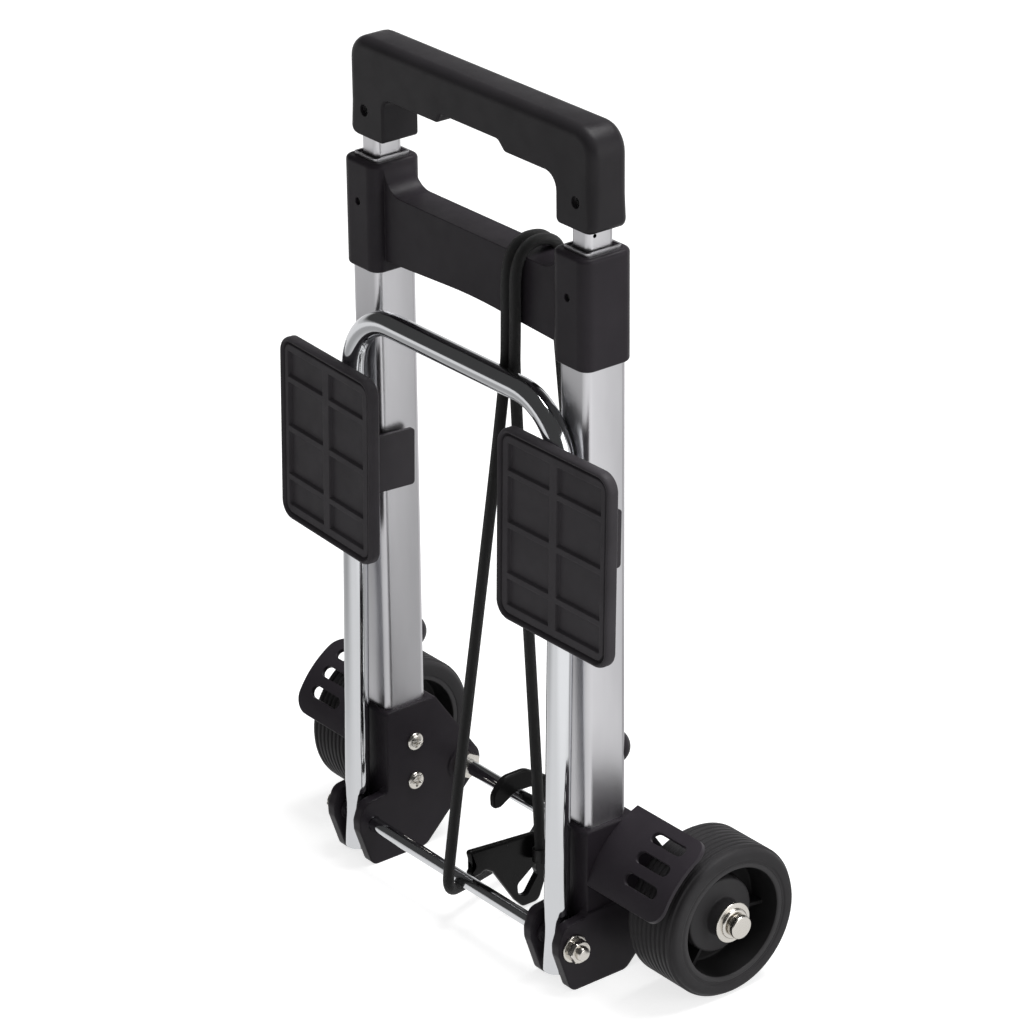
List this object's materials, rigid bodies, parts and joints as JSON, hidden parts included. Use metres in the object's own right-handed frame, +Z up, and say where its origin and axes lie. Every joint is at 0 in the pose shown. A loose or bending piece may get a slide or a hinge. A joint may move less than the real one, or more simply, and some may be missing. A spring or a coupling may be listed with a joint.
{
  "type": "folding hand truck",
  "caption": "Folding hand truck with telescopic uprights, squeeze-release grip, fold-down toe frame with foot pads, rear wheels and a stowed elastic cord.",
  "frame": {"origin": "on the ground, midway between the sides and between front and back of the folded truck, cord left out", "axes": "+Z up; +Y to the back, where the wheels are; +X to the user's right when facing the wheels from the pads"},
  "size_m": [0.2676, 0.0965, 0.387],
  "materials": {
    "aluminium": "satin anodised extrusion",
    "chrome": "bright plated tube",
    "zinc": "bright zinc or nickel plate",
    "dark_steel": "blackened screws",
    "black_plastic": "fine moulded texture, charcoal black",
    "hub_plastic": "moulded, charcoal",
    "grey_tyre": "dark grey soft plastic",
    "cord": "braided sleeve over rubber"
  },
  "bodies": {
    "root": {"upright_left": "aluminium", "upright_right": "aluminium", "bridge_bracket": "black_plastic", "bridge_screws": "dark_steel", "lower_bracket_left": "black_plastic", "lower_bracket_right": "black_plastic", "bracket_screws": "zinc", "mudguard_left": "black_plastic", "mudguard_right": "black_plastic", "wheel_axle": "zinc", "axle_washers": "zinc", "axle_caps": "zinc", "axle_nuts": "zinc", "pivot_rod": "zinc", "pivot_washers": "zinc", "pivot_nuts": "zinc", "elastic_cord": "cord", "cord_hook_axle": "black_plastic", "cord_hook_rod": "black_plastic", "cord_crimps": "zinc", "rear_bumper_left": "black_plastic", "rear_bumper_right": "black_plastic"},
    "mid_stage": {"mid_tube_left": "aluminium", "mid_tube_right": "aluminium", "mid_bush_left": "black_plastic", "mid_bush_right": "black_plastic", "mid_guide_left": "black_plastic", "mid_guide_right": "black_plastic"},
    "handle_stage": {"inner_tube_left": "aluminium", "inner_tube_right": "aluminium", "lock_block_left": "black_plastic", "lock_block_right": "black_plastic", "handle_front": "black_plastic", "handle_back": "black_plastic", "handle_screws": "dark_steel", "trigger_springs": "zinc"},
    "squeeze_release": {"release_trigger": "black_plastic", "pull_rods": "zinc"},
    "pin_left": {"lock_pin_left": "zinc"},
    "pin_right": {"lock_pin_right": "zinc"},
    "toe": {"toe_frame": "chrome", "pivot_spacers": "black_plastic"},
    "pad_left": {"foot_pad_left": "black_plastic"},
    "pad_right": {"foot_pad_right": "black_plastic"},
    "wheel_left": {"tyre_left": "grey_tyre", "wheel_hub_left": "hub_plastic", "wheel_bush_left": "hub_plastic"},
    "wheel_right": {"tyre_right": "grey_tyre", "wheel_hub_right": "hub_plastic", "wheel_bush_right": "hub_plastic"}
  },
  "joints": [
    {"name": "first_stage", "type": "slide", "parent": "root", "child": "mid_stage", "axis": [0, 0, 1], "range_m": [0, 0.25]},
    {"name": "second_stage", "type": "slide", "parent": "mid_stage", "child": "handle_stage", "axis": [0, 0, 1], "range_m": [0, 0.25]},
    {"name": "squeeze", "type": "slide", "parent": "handle_stage", "child": "squeeze_release", "axis": [0, 0, 1], "range_m": [0, 0.004], "stiffness_N_per_m": 500, "springref_m": -0.002, "deforming": ["trigger_springs"]},
    {"name": "pin_left_slide", "type": "slide", "parent": "handle_stage", "child": "pin_left", "axis": [1, 0, 0], "range_m": [0, 0.0024]},
    {"name": "pin_right_slide", "type": "slide", "parent": "handle_stage", "child": "pin_right", "axis": [-1, 0, 0], "range_m": [0, 0.0024]},
    {"name": "toe_fold", "type": "hinge", "parent": "root", "child": "toe", "pos_m": [0, -0.0376, 0.0211], "axis": [1, 0, 0], "range_deg": [0, 91]},
    {"name": "pad_left_swivel", "type": "hinge", "parent": "toe", "child": "pad_left", "pos_m": [-0.0712, -0.0376, 0.0211], "axis": [0, -0.0209, -0.9998], "range_deg": [-7.4, 0.3]},
    {"name": "pad_right_swivel", "type": "hinge", "parent": "toe", "child": "pad_right", "pos_m": [0.0712, -0.0376, 0.0211], "axis": [0, 0.0209, 0.9998], "range_deg": [-4.4, 3.4]},
    {"name": "wheel_left_spin", "type": "hinge", "parent": "root", "child": "wheel_left", "pos_m": [-0.1128, 0.0133, 0.035], "axis": [1, 0, 0], "continuous": true},
    {"name": "wheel_right_spin", "type": "hinge", "parent": "root", "child": "wheel_right", "pos_m": [0.1128, 0.0133, 0.035], "axis": [1, 0, 0], "continuous": true}
  ],
  "couplings": [
    {"joint": "pin_left_slide", "follows": "squeeze", "ratio": 0.6},
    {"joint": "pin_right_slide", "follows": "squeeze", "ratio": 0.6}
  ]
}
